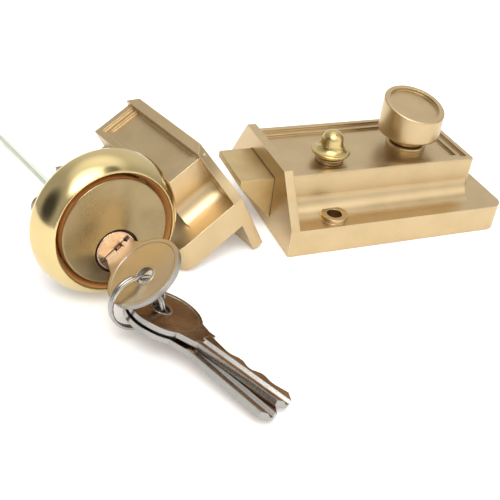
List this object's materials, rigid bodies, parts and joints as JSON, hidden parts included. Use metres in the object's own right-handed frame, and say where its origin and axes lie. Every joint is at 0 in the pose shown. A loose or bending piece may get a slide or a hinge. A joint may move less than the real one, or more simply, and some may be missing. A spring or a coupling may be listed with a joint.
{
  "type": "rim night latch set",
  "caption": "Surface-mounted night latch with turn knob, snib and sprung bolt, its keep, and a rim cylinder with keys on split rings.",
  "frame": {"origin": "centre of the lock case's back face, which lies on the table", "axes": "+X from the forend (bolt end) into the case, +Y across the case, +Z out of its back face, up from the table"},
  "size_m": [0.1824, 0.1757, 0.0483],
  "materials": {
    "plate_steel": "zinc-plated",
    "housing_brass": "satin",
    "plug_brass": "satin",
    "ring_brass": "polished",
    "key_plated": "nickel-plated, worn",
    "key_brass": "satin with plated edges",
    "bolt_brass": "satin",
    "case_gold": "satin champagne-gold lacquer",
    "snib_brass": "polished",
    "ring_nickel": "bright nickel",
    "spring_steel": "bright",
    "tail_zinc": "zinc-plated"
  },
  "bodies": {
    "case": {"lock_case": "case_gold", "back_plate": "plate_steel", "back_plate_screws": "plate_steel", "bolt_guide": "plate_steel", "spring_post": "plate_steel", "bolt_spring": "spring_steel", "knob_bush": "case_gold", "snib_detent_spring": "spring_steel"},
    "bolt": {"latch_bolt": "bolt_brass"},
    "knob": {"turn_knob": "case_gold", "knob_spindle": "plate_steel", "spindle_clip": "spring_steel", "cam_follower": "plate_steel", "knob_grub_screw": "spring_steel"},
    "snib": {"snib_button": "snib_brass", "snib_collar": "case_gold", "snib_slide": "plate_steel"},
    "keep": {"keep_case": "case_gold"},
    "cylinder": {"cylinder_ring": "ring_brass", "cylinder_housing": "housing_brass", "chamber_cover": "housing_brass", "driver_pins": "housing_brass", "pin_springs": "spring_steel"},
    "plug": {"cylinder_plug": "plug_brass", "key_pins": "plug_brass", "tail_bar": "tail_zinc", "plug_cap": "housing_brass", "cap_screws": "spring_steel"},
    "first_key": {"key_inserted": "key_brass"},
    "first_ring": {"split_ring_1": "ring_nickel"},
    "second_ring": {"split_ring_2": "ring_nickel"},
    "second_key": {"key_2": "key_plated"},
    "third_key": {"key_3": "key_plated"}
  },
  "joints": [
    {"name": "knob_turn", "type": "hinge", "parent": "case", "child": "knob", "pos_m": [0.014, -0.0015, 0.03], "axis": [0, 0, 1], "range_deg": [0, 66]},
    {"name": "bolt_slide", "type": "slide", "parent": "case", "child": "bolt", "axis": [1, 0, 0], "range_m": [0, 0.0133], "stiffness_N_per_m": 30, "springref_m": -0.02, "deforming": ["bolt_spring"]},
    {"name": "snib_slide", "type": "slide", "parent": "case", "child": "snib", "axis": [0, 1, 0], "range_m": [0, 0.005]},
    {"name": "keep_away", "type": "slide", "parent": "case", "child": "keep", "axis": [0, 1, 0], "range_m": [0, 0.05]},
    {"name": "cylinder_lift", "type": "slide", "parent": "case", "child": "cylinder", "axis": [0, 0, 1], "range_m": [0, 0.05]},
    {"name": "plug_turn", "type": "hinge", "parent": "cylinder", "child": "plug", "pos_m": [-0.1107, -0.03947, 0.01867], "axis": [0.1974, -0.9704, 0.1392], "range_deg": [0, 55.5]},
    {"name": "key_slide", "type": "slide", "parent": "plug", "child": "first_key", "axis": [0.1974, -0.9704, 0.1392], "range_m": [0, 0.03]},
    {"name": "first_ring_swing", "type": "hinge", "parent": "first_key", "child": "first_ring", "pos_m": [-0.10649, -0.05767, 0.02164], "axis": [0.1974, -0.9704, 0.1392], "range_deg": [-1, 1]},
    {"name": "second_ring_shift", "type": "hinge", "parent": "first_ring", "child": "second_ring", "pos_m": [-0.10934, -0.05937, 0.01381], "axis": [0.1974, -0.9704, 0.1392], "range_deg": [-0.5, 1.5]},
    {"name": "second_key_swing", "type": "hinge", "parent": "second_ring", "child": "second_key", "pos_m": [-0.10208, -0.05965, 0.00969], "axis": [0.3755, 0.0941, 0.922], "range_deg": [-12, 2]},
    {"name": "third_key_swing", "type": "hinge", "parent": "second_ring", "child": "third_key", "pos_m": [-0.10306, -0.05989, 0.00729], "axis": [0.3755, 0.0941, 0.922], "range_deg": [-15, 0]}
  ],
  "couplings": [
    {"joint": "knob_turn", "follows": "bolt_slide", "rad_per_m": 86.61}
  ]
}
